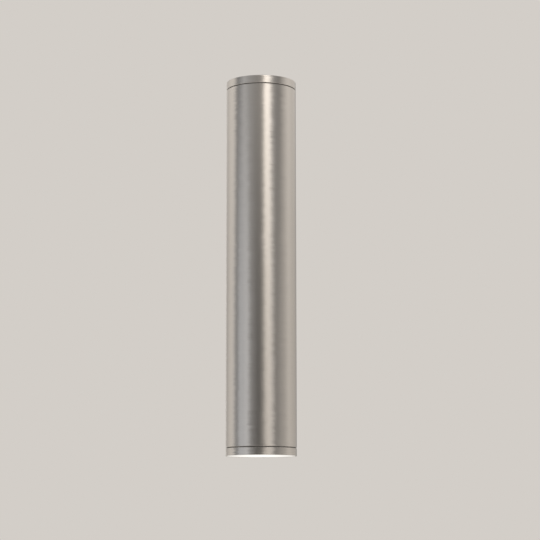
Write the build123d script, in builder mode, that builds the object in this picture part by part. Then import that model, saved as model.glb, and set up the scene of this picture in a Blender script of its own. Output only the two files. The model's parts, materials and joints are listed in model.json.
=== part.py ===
from build123d import *
import math
import os

# A tube wall light that shines up and down, taken apart into its real pieces. Sizes in millimetres.
# The origin lies on the wall, in the middle of the wall plate. +Z points up, +Y into the wall, and
# +X to the right of someone who faces the light. The tube's axis is upright in front of the wall.

os.makedirs("parts", exist_ok=True)

# ---- driving dimensions: the whole light ----
OVERALL_LENGTH = 322.0
WALL_GAP = 10.0  # from the back of the tube to the wall
TUBE_WALL = 1.5
TUBE_EDGE = 0.3  # chamfer on the tube's and the rings' outer edges

# ---- driving dimensions: lamps with a two-pin twist base ----
LAMP_DIAMETER = 50.0
LAMP_LENGTH = 47.5  # face to base, without the pins
LAMP_SETBACK = 14.0  # lamp face behind the end of the light
LAMP_RIM_HEIGHT = 6.0
LAMP_BASE_RADIUS = 13.0
LAMP_BASE_HEIGHT = 9.5
LAMP_NECK_RADIUS = 15.5
LAMP_CORE_RADIUS = 17.5  # inside the fins, where they meet the rim
LAMP_SKIRT = 1.6  # width of the rim round the lamp's own lens
LAMP_LENS_THICKNESS = 2.4
FIN_COUNT = 12
FIN_THICKNESS = 1.5
PIN_CIRCLE_RADIUS = 5.0
PIN_NECK_RADIUS = 1.5
PIN_NECK_LENGTH = 3.0
PIN_HEAD_RADIUS = 2.45
PIN_HEAD_LENGTH = 3.8
TWIST_ANGLE = 25.0  # from locked to free

# ---- driving dimensions: end rings, lenses and seals ----
RING_HEIGHT = 6.5
SEAM_GAP = 0.6
LIP_WALL = 0.6  # the thin edge round the lens
LENS_THICKNESS = 3.0
LENS_EDGE = 0.3
LENS_RECESS = 0.25
LENS_GASKET_THICKNESS = 0.6
LENS_GASKET_WIDTH = 2.6
SPIGOT_WALL = 1.35
SPIGOT_LENGTH = 6.0
COLLAR_WALL = 1.4
COLLAR_LENGTH = 10.0
SEAL_RECESS = 0.8  # the seam seal's edge behind the tube's surface

# ---- driving dimensions: lampholders ----
HOLDER_WIDTH = 30.0
HOLDER_DEPTH = 20.0
HOLDER_HEIGHT = 16.0
HOLDER_CORNER = 6.0
HOLDER_FACE = 2.4  # ceramic over the pin pockets
POCKET_DEPTH = 8.5
HOLDER_SCREW_SPREAD = 11.5  # from the tube's axis, to each side
WIRE_SPREAD = 4.0  # from the tube's axis, to each side

# ---- driving dimensions: chassis ----
CHASSIS_WIDTH = 30.0
CHASSIS_THICKNESS = 2.0
CHASSIS_BEND = 3.0  # to the middle of the sheet
SHELF_REACH = 11.0  # past the tube's axis
SPACER_RADIUS = 5.0
NUT_ACROSS_FLATS = 7.0
NUT_HEIGHT = 3.2

# ---- driving dimensions: terminal block, wires and earth point ----
BLOCK_WIDTH = 30.0
BLOCK_LENGTH = 20.0
BLOCK_BASE = 9.8
BLOCK_TOWER = 16.0
BLOCK_WALL = 1.2  # in front of the barrels
TOWER_WIDTH = 5.2
POLE_PITCH = 10.0
BARREL_WIDTH = 5.2
BARREL_BORE = 3.2
BARREL_LENGTH = 17.0
TERMINAL_SCREW_SPREAD = 4.6  # from the barrel's middle
WIRE_DIAMETER = 2.2
WIRE_TUCK = 5.0  # hidden in a barrel or a lampholder
BLOCK_WIRE_RUN = 13.0  # from the block to a wire's first turn
HOLDER_WIRE_RUN = 15.0  # from a wire's last turn to the lampholder
EARTH_WIRE_RUN = 2.0  # from the earth wire's last turn to the crimp
EARTH_WIRE_SLOPE = 7.0  # length along the tube between the earth wire's turns
TURN_SHARE = 0.45  # of the shorter run at a turn, taken by its arc
EARTH_DROP = 18.5  # earth screw below the lower saddle screw
TAG_RING_RADIUS = 3.8
TAG_THICKNESS = 0.8
CRIMP_RADIUS = 1.7
CRIMP_LENGTH = 4.5

# ---- driving dimensions: saddle and wall plate ----
SADDLE_WIDTH = 44.0
SADDLE_HEIGHT = 90.0
SADDLE_CORNER = 12.0
SADDLE_WALL = 3.0
SADDLE_FLOOR = 2.5
SADDLE_SCREW_SPREAD = 30.0  # from the middle, up and down
WALL_GASKET_THICKNESS = 1.0
WALL_GASKET_WIDTH = 2.4
PLATE_THICKNESS = 2.0
PLATE_CORNER = 6.0
PLATE_GAP = 1.5  # between wall plate and saddle wall
PLATE_END_GAP = 4.0
PLATE_BEND = 2.2  # to the middle of the sheet
EAR_HEIGHT = 14.0
EAR_REACH = 9.5  # from the wall
RELIEF_GAP = 1.5
FIXING_SPACING = 60.0
FIXING_SLOT_WIDTH = 4.5
FIXING_SLOT_LENGTH = 9.0
CABLE_DROP = 16.0  # cable entry below the middle
ENTRY_RADIUS = 6.0
CABLE_RADIUS = 4.0  # bore of both cable bushes
BUSH_FLANGE_WIDTH = 1.5
BUSH_FLANGE_HEIGHT = 1.2

# ---- driving dimensions: screws ----
M3_RADIUS = 1.5
M3_HEAD_RADIUS = 2.75
M3_HEAD_HEIGHT = 2.0
BLOCK_SCREW_HEAD = 2.2
M4_RADIUS = 2.0
M4_HEAD_RADIUS = 3.5
M4_HEAD_HEIGHT = 2.4
M4_SUNK_RADIUS = 4.0
SCREW_TAIL = 1.5  # past what a screw is driven into
SOCKET_RADIUS = 1.15
SOCKET_DEPTH = 1.8
DRIVE_SLOT = 0.8
DOG_RADIUS = 1.4
LOCK_RECESS = 0.3  # locking screws below the saddle's sides

# ---- clearances ----
THREAD_CLEARANCE = 0.1
SEAT_CLEARANCE = 0.05  # pieces fastened together
RUNNING_CLEARANCE = 0.3  # pieces that move past each other
DRILL_CLEARANCE = 0.2  # holes round screws
LENS_CLEARANCE = 0.2
LAMP_CLEARANCE = 0.6
CHASSIS_CLEARANCE = 0.3

# ---- derived sizes: radii from the lamp outwards ----
lamp_radius = LAMP_DIAMETER / 2
spigot_bore = lamp_radius + LAMP_CLEARANCE
spigot_radius = spigot_bore + SPIGOT_WALL
collar_bore = spigot_radius + THREAD_CLEARANCE
collar_radius = collar_bore + COLLAR_WALL
tube_bore = collar_radius + SEAT_CLEARANCE
tube_radius = tube_bore + TUBE_WALL
lens_seat_radius = tube_radius - LIP_WALL
lens_radius = lens_seat_radius - LENS_CLEARANCE
seal_radius = tube_radius - SEAL_RECESS
axis_depth = tube_radius + WALL_GAP  # from the wall to the tube's axis

# ---- derived sizes: heights along the tube, from the middle towards an end ----
rim = OVERALL_LENGTH / 2
flange_base = rim - RING_HEIGHT
tube_end = flange_base - SEAM_GAP
lens_face = rim - LENS_RECESS
lens_back = lens_face - LENS_THICKNESS
lens_seat = lens_back - LENS_GASKET_THICKNESS
lamp_face = rim - LAMP_SETBACK
lamp_base = lamp_face - LAMP_LENGTH
holder_face = lamp_base - RUNNING_CLEARANCE
holder_base = holder_face - HOLDER_HEIGHT
shelf_middle = holder_base - SEAT_CLEARANCE - CHASSIS_THICKNESS / 2
shelf_base = shelf_middle - CHASSIS_THICKNESS / 2

# ---- derived sizes: depths from the tube's axis towards the wall ----
chassis_back = math.sqrt((tube_bore - CHASSIS_CLEARANCE) ** 2 - (CHASSIS_WIDTH / 2) ** 2)
chassis_middle = chassis_back - CHASSIS_THICKNESS / 2
chassis_front = chassis_back - CHASSIS_THICKNESS
block_back = chassis_front - SEAT_CLEARANCE
block_front = block_back - BLOCK_BASE
tower_front = block_back - BLOCK_TOWER
barrel_depth = block_front + BLOCK_WALL + BARREL_WIDTH / 2 + SEAT_CLEARANCE
saddle_front_radius = tube_radius + SEAT_CLEARANCE
saddle_floor_radius = saddle_front_radius + SADDLE_FLOOR
saddle_back = axis_depth - WALL_GASKET_THICKNESS
sunk_head_depth = math.sqrt(saddle_floor_radius**2 - M4_SUNK_RADIUS**2)

# ---- derived sizes: saddle and wall plate ----
cavity_width = SADDLE_WIDTH - 2 * SADDLE_WALL
cavity_height = SADDLE_HEIGHT - 2 * SADDLE_WALL
cavity_corner = SADDLE_CORNER - SADDLE_WALL
plate_width = cavity_width - 2 * PLATE_GAP
plate_height = cavity_height - 2 * PLATE_END_GAP
lock_depth = (PLATE_THICKNESS + EAR_REACH) / 2  # locking screws' axis, from the wall
ear_outside = plate_width / 2
ear_inside = ear_outside - PLATE_THICKNESS
block_bottom = -CABLE_DROP + ENTRY_RADIUS + 2 * CHASSIS_THICKNESS
block_top = block_bottom + BLOCK_LENGTH
block_middle = (block_bottom + block_top) / 2
wire_radius = WIRE_DIAMETER / 2

# The two ends are alike, one turned over, not mirrored, so that both lamps lock clockwise.
# In an end's own plane, z runs out along the tube and y towards the wall.
ENDS = {
    "top": Plane(origin=(0, -axis_depth, 0), x_dir=(1, 0, 0), z_dir=(0, 0, 1)),
    "bottom": Plane(origin=(0, -axis_depth, 0), x_dir=(-1, 0, 0), z_dir=(0, 0, -1)),
}
# Seen from the wall side: x across the light, y up, at a depth measured from the tube's axis.
BACK = Plane(origin=(0, -axis_depth, 0), x_dir=(-1, 0, 0), z_dir=(0, 1, 0))
# The upright plane through the axis, square to the wall: x towards the wall, y up.
SIDE = Plane(origin=(0, -axis_depth, 0), x_dir=(0, 1, 0), z_dir=(1, 0, 0))


def keep(piece, name):
    """Label a finished piece and write it as its own file."""
    piece.label = name
    export_step(piece, f"parts/{name}.step")


def profile_plane(end):
    """The half-plane to draw a turned piece in: x is the radius, y the height along the tube."""
    return Plane(origin=end.origin, x_dir=end.x_dir, z_dir=-end.y_dir)


def turned(end, outline):
    """A piece turned about the tube's axis from an outline of radius and height."""
    with BuildPart() as piece:
        with BuildSketch(profile_plane(end)):
            with BuildLine():
                Polyline(*outline, close=True)
            make_face()
        revolve(axis=Axis(end.origin, end.z_dir))
    return piece.part


def washer(end, outer, inner, low, high):
    """A flat ring round the tube's axis."""
    return turned(end, [(inner, low), (outer, low), (outer, high), (inner, high)])


def bend_radii(points):
    """As large an arc at each corner of a wire's route as its two runs allow."""
    points = [Vector(*point) for point in points]
    radii = []
    for before, corner, after in zip(points, points[1:], points[2:]):
        runs = corner - before, after - corner
        turn = math.radians(runs[0].get_angle(runs[1]))
        radii.append(TURN_SHARE * min(run.length for run in runs) / math.tan(turn / 2))
    return radii


def wire(points, name):
    """A round wire along straight runs joined by arcs."""
    radii = bend_radii(points)
    print(name, "bend radii", [round(radius, 1) for radius in radii])
    with BuildPart() as piece:
        with BuildLine() as route:
            FilletPolyline(*points, radius=radii)
        with BuildSketch(Plane(origin=route.line @ 0, z_dir=route.line % 0)):
            Circle(wire_radius)
        sweep(path=route.line)
    return piece.part


# ---- body tube ----
with BuildPart() as body_tube:
    with BuildSketch(ENDS["top"].offset(-tube_end)):
        Circle(tube_radius)
        Circle(tube_bore, mode=Mode.SUBTRACT)
    extrude(amount=2 * tube_end)
    rims = body_tube.edges().filter_by(GeomType.CIRCLE).filter_by(lambda e: e.radius > tube_bore)
    chamfer(rims, TUBE_EDGE)
    with BuildSketch(BACK):
        with Locations((0, SADDLE_SCREW_SPREAD), (0, -SADDLE_SCREW_SPREAD)):
            Circle(M4_RADIUS + DRILL_CLEARANCE)
        with Locations((0, -CABLE_DROP)):
            Circle(ENTRY_RADIUS)
    extrude(amount=axis_depth, mode=Mode.SUBTRACT)
keep(body_tube.part, "body_tube")

# ---- both ends: collar, seal, ring, lens, lens gasket ----
for where, end in ENDS.items():
    collar = washer(end, collar_radius, collar_bore, tube_end - COLLAR_LENGTH, tube_end)
    keep(collar, f"end_collar_{where}")

    seal = washer(end, seal_radius, collar_bore + RUNNING_CLEARANCE, tube_end, flange_base)
    keep(seal, f"seam_seal_{where}")

    with BuildPart() as end_ring:
        with BuildSketch(profile_plane(end)):
            with BuildLine():
                Polyline(
                    (spigot_bore, flange_base - SPIGOT_LENGTH),
                    (spigot_radius - TUBE_EDGE, flange_base - SPIGOT_LENGTH),
                    (spigot_radius, flange_base - SPIGOT_LENGTH + TUBE_EDGE),
                    (spigot_radius, flange_base),
                    (tube_radius - TUBE_EDGE, flange_base),
                    (tube_radius, flange_base + TUBE_EDGE),
                    (tube_radius, rim - TUBE_EDGE / 2),
                    (tube_radius - TUBE_EDGE / 2, rim),
                    (lens_seat_radius, rim),
                    (lens_seat_radius, lens_seat),
                    (spigot_bore, lens_seat),
                    close=True,
                )
            make_face()
        revolve(axis=Axis(end.origin, end.z_dir))
    keep(end_ring.part, f"end_ring_{where}")

    lens = turned(
        end,
        [
            (0, lens_back),
            (lens_radius, lens_back),
            (lens_radius, lens_face - LENS_EDGE),
            (lens_radius - LENS_EDGE, lens_face),
            (0, lens_face),
        ],
    )
    keep(lens, f"lens_{where}")

    gasket_bore = lens_radius - LENS_GASKET_WIDTH
    lens_gasket = washer(end, lens_radius, gasket_bore, lens_seat, lens_back)
    keep(lens_gasket, f"lens_gasket_{where}")

# ---- both ends: lamps ----
lens_pocket = lamp_radius - LAMP_SKIRT
lamp_rim_base = lamp_face - LAMP_RIM_HEIGHT
fin_base = lamp_base + LAMP_BASE_HEIGHT
for where, end in ENDS.items():
    lamp_axis = Axis(end.origin, end.z_dir)
    with BuildPart() as housing:
        # the fins are cut from the flared outer shape, and the plain core is added inside them
        with BuildSketch(profile_plane(end)):
            with BuildLine():
                Polyline(
                    (0, fin_base),
                    (LAMP_NECK_RADIUS, fin_base),
                    (lamp_radius - LAMP_SKIRT / 2, lamp_rim_base),
                    (0, lamp_rim_base),
                    close=True,
                )
            make_face()
        revolve(axis=lamp_axis)
        with BuildSketch(end.offset(fin_base)):
            with PolarLocations(lamp_radius / 2, FIN_COUNT):
                Rectangle(lamp_radius, FIN_THICKNESS)
        extrude(amount=lamp_rim_base - fin_base, mode=Mode.INTERSECT)
        with BuildSketch(profile_plane(end)):
            with BuildLine():
                Polyline(
                    (0, lamp_base),
                    (LAMP_BASE_RADIUS - TUBE_EDGE, lamp_base),
                    (LAMP_BASE_RADIUS, lamp_base + TUBE_EDGE),
                    (LAMP_BASE_RADIUS, fin_base),
                    (LAMP_CORE_RADIUS, lamp_rim_base),
                    (lamp_radius - TUBE_EDGE, lamp_rim_base),
                    (lamp_radius, lamp_rim_base + TUBE_EDGE),
                    (lamp_radius, lamp_face - TUBE_EDGE),
                    (lamp_radius - TUBE_EDGE, lamp_face),
                    (lens_pocket, lamp_face),
                    (lens_pocket, lamp_face - LAMP_LENS_THICKNESS),
                    (0, lamp_face - LAMP_LENS_THICKNESS),
                    close=True,
                )
            make_face()
        revolve(axis=lamp_axis)
    keep(housing.part, f"lamp_{where}_housing")

    with BuildPart() as lamp_lens:
        with BuildSketch(end.offset(lamp_face)):
            Circle(lens_pocket - SEAT_CLEARANCE)
        extrude(amount=-LAMP_LENS_THICKNESS)
    keep(lamp_lens.part, f"lamp_{where}_lens")

    with BuildPart() as pins:
        with BuildSketch(end.offset(lamp_base)):
            with PolarLocations(PIN_CIRCLE_RADIUS, 2, start_angle=90):
                Circle(PIN_NECK_RADIUS)
        extrude(amount=-PIN_NECK_LENGTH - PIN_HEAD_LENGTH / 2)
        with BuildSketch(end.offset(lamp_base - PIN_NECK_LENGTH)):
            with PolarLocations(PIN_CIRCLE_RADIUS, 2, start_angle=90):
                Circle(PIN_HEAD_RADIUS)
        extrude(amount=-PIN_HEAD_LENGTH)
        tips = pins.faces().filter_by(Axis.Z).group_by(Axis(end.origin, end.z_dir))[0]
        chamfer(tips.edges(), 2 * TUBE_EDGE)
    keep(pins.part, f"lamp_{where}_pins")

# ---- both ends: lampholders, their contacts and screws ----
pin_tip = lamp_base - PIN_NECK_LENGTH - PIN_HEAD_LENGTH
pocket_floor = holder_face - POCKET_DEPTH
for where, end in ENDS.items():
    with BuildPart() as holder:
        with BuildSketch(end.offset(holder_base)):
            RectangleRounded(HOLDER_WIDTH, HOLDER_DEPTH, HOLDER_CORNER)
        extrude(amount=HOLDER_HEIGHT)
        # pin pockets under the face: wide for the heads, narrow in the face except where they go in
        for start in (90, 270):
            track = CenterArc((0, 0), PIN_CIRCLE_RADIUS, start, TWIST_ANGLE)
            with BuildSketch(end.offset(pocket_floor)):
                SlotArc(track, 2 * (PIN_HEAD_RADIUS + RUNNING_CLEARANCE))
            extrude(amount=POCKET_DEPTH - HOLDER_FACE, mode=Mode.SUBTRACT)
            with BuildSketch(end.offset(holder_face)):
                SlotArc(track, 2 * (PIN_NECK_RADIUS + RUNNING_CLEARANCE))
                with PolarLocations(PIN_CIRCLE_RADIUS, 1, start_angle=start + TWIST_ANGLE):
                    Circle(PIN_HEAD_RADIUS + RUNNING_CLEARANCE)
            extrude(amount=-HOLDER_FACE, mode=Mode.SUBTRACT)
        with Locations(end.offset(holder_face)):
            with Locations((HOLDER_SCREW_SPREAD, 0), (-HOLDER_SCREW_SPREAD, 0)):
                CounterBoreHole(
                    M3_RADIUS + DRILL_CLEARANCE,
                    M3_HEAD_RADIUS + DRILL_CLEARANCE,
                    M3_HEAD_HEIGHT + RUNNING_CLEARANCE,
                )
        with BuildSketch(end.offset(holder_base)):
            with Locations((WIRE_SPREAD, 0), (-WIRE_SPREAD, 0)):
                Circle(wire_radius + DRILL_CLEARANCE)
        extrude(amount=WIRE_TUCK + DRILL_CLEARANCE, mode=Mode.SUBTRACT)
    keep(holder.part, f"lampholder_{where}")

    with BuildPart() as contacts:
        with BuildSketch(end.offset(pocket_floor)):
            with PolarLocations(PIN_CIRCLE_RADIUS, 2, start_angle=90):
                Circle(PIN_HEAD_RADIUS - RUNNING_CLEARANCE)
        extrude(amount=pin_tip - pocket_floor - RUNNING_CLEARANCE)
    keep(contacts.part, f"lampholder_{where}_contacts")

    head_base = holder_face - M3_HEAD_HEIGHT - RUNNING_CLEARANCE
    with BuildPart() as holder_screws:
        with BuildSketch(end.offset(head_base)):
            with Locations((HOLDER_SCREW_SPREAD, 0), (-HOLDER_SCREW_SPREAD, 0)):
                Circle(M3_HEAD_RADIUS)
        extrude(amount=M3_HEAD_HEIGHT)
        with BuildSketch(end.offset(head_base)):
            with Locations((HOLDER_SCREW_SPREAD, 0), (-HOLDER_SCREW_SPREAD, 0)):
                Circle(M3_RADIUS)
        extrude(amount=shelf_base - SCREW_TAIL - head_base)
        with BuildSketch(end.offset(head_base + M3_HEAD_HEIGHT)):
            with Locations((HOLDER_SCREW_SPREAD, 0), (-HOLDER_SCREW_SPREAD, 0)):
                Rectangle(2 * M3_HEAD_RADIUS, DRIVE_SLOT)
        extrude(amount=-M3_HEAD_HEIGHT / 2, mode=Mode.SUBTRACT)
    keep(holder_screws.part, f"holder_screws_{where}")

# ---- places on the terminal block ----
poles = [(-POLE_PITCH, block_middle), (0, block_middle), (POLE_PITCH, block_middle)]
barrel_places = [(x, barrel_depth) for x, _ in poles]
screw_places = [(x, z + side * TERMINAL_SCREW_SPREAD) for x, z in poles for side in (-1, 1)]
block_screw_places = [(side * POLE_PITCH / 2, block_middle) for side in (-1, 1)]
barrel_line = BACK.offset(barrel_depth)

# ---- chassis: one strip of sheet bent to a shelf at each end ----
earth_height = -SADDLE_SCREW_SPREAD - EARTH_DROP
with BuildPart() as chassis:
    with BuildSketch(SIDE):
        with BuildLine():
            FilletPolyline(
                (-SHELF_REACH, shelf_middle),
                (chassis_middle, shelf_middle),
                (chassis_middle, -shelf_middle),
                (-SHELF_REACH, -shelf_middle),
                radius=CHASSIS_BEND,
            )
        trace(line_width=CHASSIS_THICKNESS)
    extrude(amount=CHASSIS_WIDTH / 2, both=True)
    shelf_tips = chassis.edges().filter_by(Axis.Z).group_by(Axis.Y)[0]
    fillet(shelf_tips, HOLDER_CORNER)
    for end in ENDS.values():
        with BuildSketch(end.offset(shelf_base)):
            SlotOverall(2 * (WIRE_SPREAD + WIRE_DIAMETER), 2 * WIRE_DIAMETER)
            with Locations((HOLDER_SCREW_SPREAD, 0), (-HOLDER_SCREW_SPREAD, 0)):
                Circle(M3_RADIUS + SEAT_CLEARANCE)
        extrude(amount=CHASSIS_THICKNESS, mode=Mode.SUBTRACT)
    with BuildSketch(BACK.offset(chassis_front)):
        with Locations((0, SADDLE_SCREW_SPREAD), (0, -SADDLE_SCREW_SPREAD)):
            Circle(M4_RADIUS + DRILL_CLEARANCE)
        with Locations((0, -CABLE_DROP)):
            Circle(ENTRY_RADIUS)
        with Locations(*block_screw_places):
            Circle(M3_RADIUS + SEAT_CLEARANCE)
        with Locations((0, earth_height)):
            Circle(M4_RADIUS + SEAT_CLEARANCE)
    extrude(amount=CHASSIS_THICKNESS, mode=Mode.SUBTRACT)
keep(chassis.part, "chassis")

with BuildPart() as chassis_spacers:
    with BuildSketch(BACK.offset(chassis_back)):
        with Locations((0, SADDLE_SCREW_SPREAD), (0, -SADDLE_SCREW_SPREAD)):
            Circle(SPACER_RADIUS)
            Circle(M4_RADIUS + DRILL_CLEARANCE, mode=Mode.SUBTRACT)
    extrude(amount=tube_bore)
    # their far ends are hollowed to lie against the inside of the tube
    with BuildSketch(ENDS["top"].offset(-SADDLE_HEIGHT / 2)):
        Circle(tube_bore - SEAT_CLEARANCE)
    extrude(amount=SADDLE_HEIGHT, mode=Mode.INTERSECT)
keep(chassis_spacers.part, "chassis_spacers")

with BuildPart() as chassis_nuts:
    with BuildSketch(BACK.offset(chassis_front)):
        with Locations((0, SADDLE_SCREW_SPREAD), (0, -SADDLE_SCREW_SPREAD)):
            RegularPolygon(NUT_ACROSS_FLATS / 2, 6, major_radius=False)
            Circle(M4_RADIUS + SEAT_CLEARANCE, mode=Mode.SUBTRACT)
    extrude(amount=-NUT_HEIGHT)
keep(chassis_nuts.part, "chassis_nuts")

# ---- terminal block: a moulded base with a tower over each barrel ----
with BuildPart() as terminal_block:
    with BuildSketch(BACK.offset(block_back)):
        with Locations((0, block_middle)):
            Rectangle(BLOCK_WIDTH, BLOCK_LENGTH)
    extrude(amount=-BLOCK_BASE)
    with BuildSketch(BACK.offset(block_front)):
        with Locations(*poles):
            Rectangle(TOWER_WIDTH, BLOCK_LENGTH - M3_RADIUS)
    extrude(amount=BLOCK_BASE - BLOCK_TOWER)
    with BuildSketch(ENDS["top"].offset(block_bottom)):
        with Locations(*barrel_places):
            Rectangle(BARREL_WIDTH + 2 * SEAT_CLEARANCE, BARREL_WIDTH + 2 * SEAT_CLEARANCE)
    extrude(amount=BLOCK_LENGTH, mode=Mode.SUBTRACT)
    with BuildSketch(barrel_line):
        with Locations(*screw_places):
            Circle(M3_RADIUS + DRILL_CLEARANCE)
    extrude(amount=-BLOCK_TOWER, mode=Mode.SUBTRACT)
    with BuildSketch(BACK.offset(block_back)):
        with Locations(*block_screw_places):
            Circle(M3_RADIUS + DRILL_CLEARANCE)
    extrude(amount=-BLOCK_BASE, mode=Mode.SUBTRACT)
keep(terminal_block.part, "terminal_block")

with BuildPart() as terminal_barrels:
    with BuildSketch(ENDS["top"].offset(block_middle - BARREL_LENGTH / 2)):
        with Locations(*barrel_places):
            Rectangle(BARREL_WIDTH, BARREL_WIDTH)
            Rectangle(BARREL_BORE, BARREL_BORE, mode=Mode.SUBTRACT)
    extrude(amount=BARREL_LENGTH)
    with BuildSketch(barrel_line):
        with Locations(*screw_places):
            Circle(M3_RADIUS + SEAT_CLEARANCE)
    extrude(amount=-BARREL_WIDTH / 2, mode=Mode.SUBTRACT)
keep(terminal_barrels.part, "terminal_barrels")

screw_tip = barrel_depth - wire_radius - SEAT_CLEARANCE
with BuildPart() as terminal_screws:
    with BuildSketch(BACK.offset(screw_tip)):
        with Locations(*screw_places):
            Circle(M3_RADIUS)
    extrude(amount=tower_front + M3_HEAD_HEIGHT - screw_tip)
    with BuildSketch(BACK.offset(tower_front + M3_HEAD_HEIGHT)):
        with Locations(*screw_places):
            Rectangle(2 * M3_RADIUS, DRIVE_SLOT)
    extrude(amount=M3_RADIUS, mode=Mode.SUBTRACT)
keep(terminal_screws.part, "terminal_screws")

with BuildPart() as block_screws:
    with BuildSketch(BACK.offset(block_front)):
        with Locations(*block_screw_places):
            Circle(M3_RADIUS)
    extrude(amount=chassis_back - block_front)
    with BuildSketch(BACK.offset(block_front)):
        with Locations(*block_screw_places):
            Circle(BLOCK_SCREW_HEAD)
    extrude(amount=-M3_HEAD_HEIGHT)
    with BuildSketch(BACK.offset(block_front - M3_HEAD_HEIGHT)):
        with Locations(*block_screw_places):
            Rectangle(2 * BLOCK_SCREW_HEAD, DRIVE_SLOT)
    extrude(amount=M3_HEAD_HEIGHT / 2, mode=Mode.SUBTRACT)
keep(block_screws.part, "block_screws")

# ---- earth point on the chassis ----
tag_front = chassis_front - TAG_THICKNESS
crimp_top = earth_height + TAG_RING_RADIUS + CRIMP_LENGTH
crimp_depth = chassis_front - CRIMP_RADIUS
tag_neck = TAG_RING_RADIUS + TAG_THICKNESS  # runs a little under the crimp
with BuildPart() as earth_tag:
    with BuildSketch(BACK.offset(chassis_front)):
        with Locations((0, earth_height)):
            Circle(TAG_RING_RADIUS)
            Rectangle(2 * CRIMP_RADIUS, tag_neck, align=(Align.CENTER, Align.MIN))
            Circle(M4_RADIUS + DRILL_CLEARANCE, mode=Mode.SUBTRACT)
    extrude(amount=-TAG_THICKNESS)
    with BuildSketch(ENDS["top"].offset(earth_height + TAG_RING_RADIUS)):
        with Locations((0, crimp_depth)):
            Circle(CRIMP_RADIUS)
    extrude(amount=CRIMP_LENGTH)
    with BuildSketch(ENDS["top"].offset(crimp_top)):
        with Locations((0, crimp_depth)):
            Circle(wire_radius + SEAT_CLEARANCE)
    extrude(amount=SEAT_CLEARANCE - CRIMP_LENGTH, mode=Mode.SUBTRACT)
keep(earth_tag.part, "earth_tag")

with BuildPart() as earth_screw:
    with BuildSketch(BACK.offset(tag_front)):
        with Locations((0, earth_height)):
            Circle(M4_RADIUS)
    extrude(amount=TAG_THICKNESS + CHASSIS_THICKNESS)
    with BuildSketch(BACK.offset(tag_front)):
        with Locations((0, earth_height)):
            Circle(M4_HEAD_RADIUS)
    extrude(amount=-M4_HEAD_HEIGHT)
    with BuildSketch(BACK.offset(tag_front - M4_HEAD_HEIGHT)):
        with Locations((0, earth_height)):
            Rectangle(2 * M4_HEAD_RADIUS, DRIVE_SLOT)
    extrude(amount=M4_HEAD_HEIGHT / 2, mode=Mode.SUBTRACT)
keep(earth_screw.part, "earth_screw")

# ---- wires: from the terminal block to both lampholders, and to the earth point ----
barrel_y = barrel_depth - axis_depth
for where, side in (("top", 1), ("bottom", -1)):
    block_end = block_top if side > 0 else block_bottom
    for core, x_side in (("live", -1), ("neutral", 1)):
        route = [
            (x_side * POLE_PITCH, barrel_y, block_end - side * WIRE_TUCK),
            (x_side * POLE_PITCH, barrel_y, block_end + side * BLOCK_WIRE_RUN),
            (x_side * WIRE_SPREAD, -axis_depth, side * (holder_base - HOLDER_WIRE_RUN)),
            (x_side * WIRE_SPREAD, -axis_depth, side * (holder_base + WIRE_TUCK)),
        ]
        keep(wire(route, f"wire_{core}_{where}"), f"wire_{core}_{where}")

earth_turn = crimp_top + EARTH_WIRE_RUN
earth_route = [
    (0, barrel_y, block_bottom + WIRE_TUCK),
    (0, barrel_y, earth_turn + EARTH_WIRE_SLOPE),
    (0, crimp_depth - axis_depth, earth_turn),
    (0, crimp_depth - axis_depth, crimp_top - CRIMP_LENGTH + 2 * SEAT_CLEARANCE),
]
keep(wire(earth_route, "wire_earth"), "wire_earth")

# ---- saddle: hollow, flat at the wall, and hollowed in front to fit the tube ----
with BuildPart() as cavity:
    with BuildSketch(BACK.offset(saddle_back)):
        RectangleRounded(cavity_width, cavity_height, cavity_corner)
    extrude(amount=-saddle_back)
    with BuildSketch(ENDS["top"].offset(-cavity_height)):
        Circle(saddle_floor_radius)
    extrude(amount=2 * cavity_height, mode=Mode.SUBTRACT)

screw_seats = [
    Location(BACK.offset(sunk_head_depth).from_local_coords((0, height, 0)), (-90, 0, 0))
    for height in (SADDLE_SCREW_SPREAD, -SADDLE_SCREW_SPREAD)
]
with BuildPart() as mounting_saddle:
    with BuildSketch(BACK.offset(saddle_back)):
        RectangleRounded(SADDLE_WIDTH, SADDLE_HEIGHT, SADDLE_CORNER)
    extrude(amount=-saddle_back)
    with BuildSketch(ENDS["top"].offset(-SADDLE_HEIGHT)):
        Circle(saddle_front_radius)
    extrude(amount=2 * SADDLE_HEIGHT, mode=Mode.SUBTRACT)
    add(cavity.part, mode=Mode.SUBTRACT)
    with Locations(*screw_seats):
        CounterSinkHole(M4_RADIUS + DRILL_CLEARANCE, M4_SUNK_RADIUS + DRILL_CLEARANCE)
    with BuildSketch(BACK):
        with Locations((0, -CABLE_DROP)):
            Circle(ENTRY_RADIUS)
    extrude(amount=axis_depth, mode=Mode.SUBTRACT)
    with BuildSketch(SIDE.offset(-SADDLE_WIDTH)):
        with Locations((axis_depth - lock_depth, 0)):
            Circle(M4_RADIUS + SEAT_CLEARANCE)
    extrude(amount=2 * SADDLE_WIDTH, mode=Mode.SUBTRACT)
keep(mounting_saddle.part, "mounting_saddle")

sunk_height = M4_SUNK_RADIUS - M4_RADIUS
screw_end = chassis_front - NUT_HEIGHT - SEAT_CLEARANCE
with BuildPart() as saddle_screws:
    for height in (SADDLE_SCREW_SPREAD, -SADDLE_SCREW_SPREAD):
        with BuildSketch(SIDE):
            with BuildLine():
                Polyline(
                    (screw_end, height),
                    (screw_end, height + M4_RADIUS),
                    (sunk_head_depth - sunk_height, height + M4_RADIUS),
                    (sunk_head_depth, height + M4_SUNK_RADIUS),
                    (sunk_head_depth, height + SOCKET_RADIUS),
                    (sunk_head_depth - SOCKET_DEPTH, height + SOCKET_RADIUS),
                    (sunk_head_depth - SOCKET_DEPTH, height),
                    close=True,
                )
            make_face()
        revolve(axis=Axis((0, 0, height), (0, 1, 0)))
keep(saddle_screws.part, "saddle_screws")

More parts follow.
